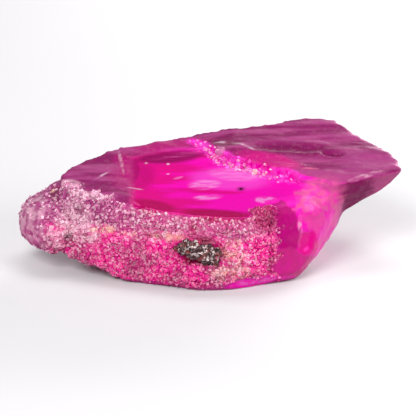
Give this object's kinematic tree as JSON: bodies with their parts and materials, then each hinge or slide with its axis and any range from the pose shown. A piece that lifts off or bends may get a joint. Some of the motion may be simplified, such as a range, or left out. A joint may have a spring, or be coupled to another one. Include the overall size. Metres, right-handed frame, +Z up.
{
  "type": "padparadscha sapphire crystal",
  "caption": "Rough pink-magenta sapphire crystal: a flat-topped broken slab with a clear dished window, a stepped ledge, a sugary granular front and a dark mineral grain.",
  "frame": {"origin": "on the resting plane, under the middle of the crystal's box", "axes": "+X along the crystal towards its overhanging wing, -Y towards its granular front, +Z up out of the top face"},
  "size_m": [0.018, 0.0086, 0.0054],
  "materials": {
    "sapphire": "see-through magenta crystal, glossy in its broken window and facets, frosted and granular elsewhere"
  },
  "bodies": {
    "root": {"sapphire_crystal": "sapphire"}
  },
  "joints": []
}
